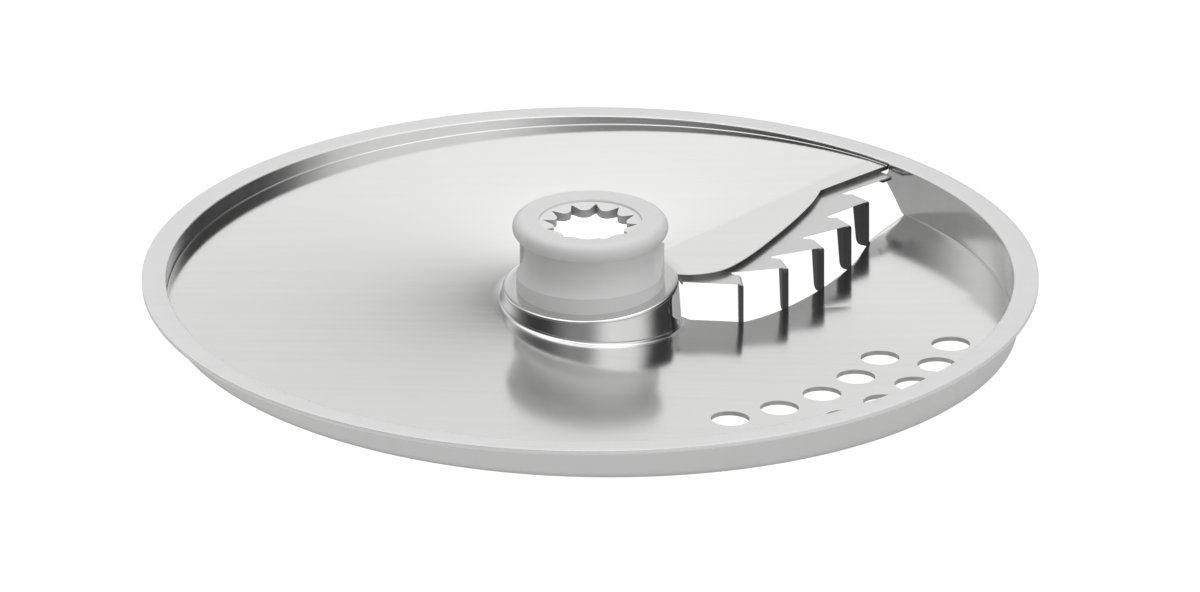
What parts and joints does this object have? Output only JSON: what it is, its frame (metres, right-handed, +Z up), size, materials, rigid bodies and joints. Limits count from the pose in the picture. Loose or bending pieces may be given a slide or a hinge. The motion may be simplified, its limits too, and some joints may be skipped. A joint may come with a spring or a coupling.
{
  "type": "food processor chip-cutting disc",
  "caption": "Round steel disc that cuts food into chips: dished spiral plate, stepped comb blade with downward fins, and a round plastic hub with a lobed drive socket.",
  "frame": {"origin": "on the spin axis, level with the bottom of the hub, where the disc stands", "axes": "+Z up along the spin axis, towards the knob; +X and +Y across the disc, with the blade's inner end near +X"},
  "size_m": [0.12, 0.12, 0.0183],
  "materials": {
    "dish_steel": "fine brushed, satin",
    "blade_steel": "bright, ground edge",
    "hub_plastic": "satin light grey",
    "insert_plastic": "satin light grey",
    "screw_steel": "plain"
  },
  "bodies": {
    "root": {"disc_plate": "dish_steel", "chip_blade": "blade_steel", "hub_grip": "hub_plastic", "drive_insert": "insert_plastic", "hub_base": "hub_plastic", "hub_screws": "screw_steel"}
  },
  "joints": []
}
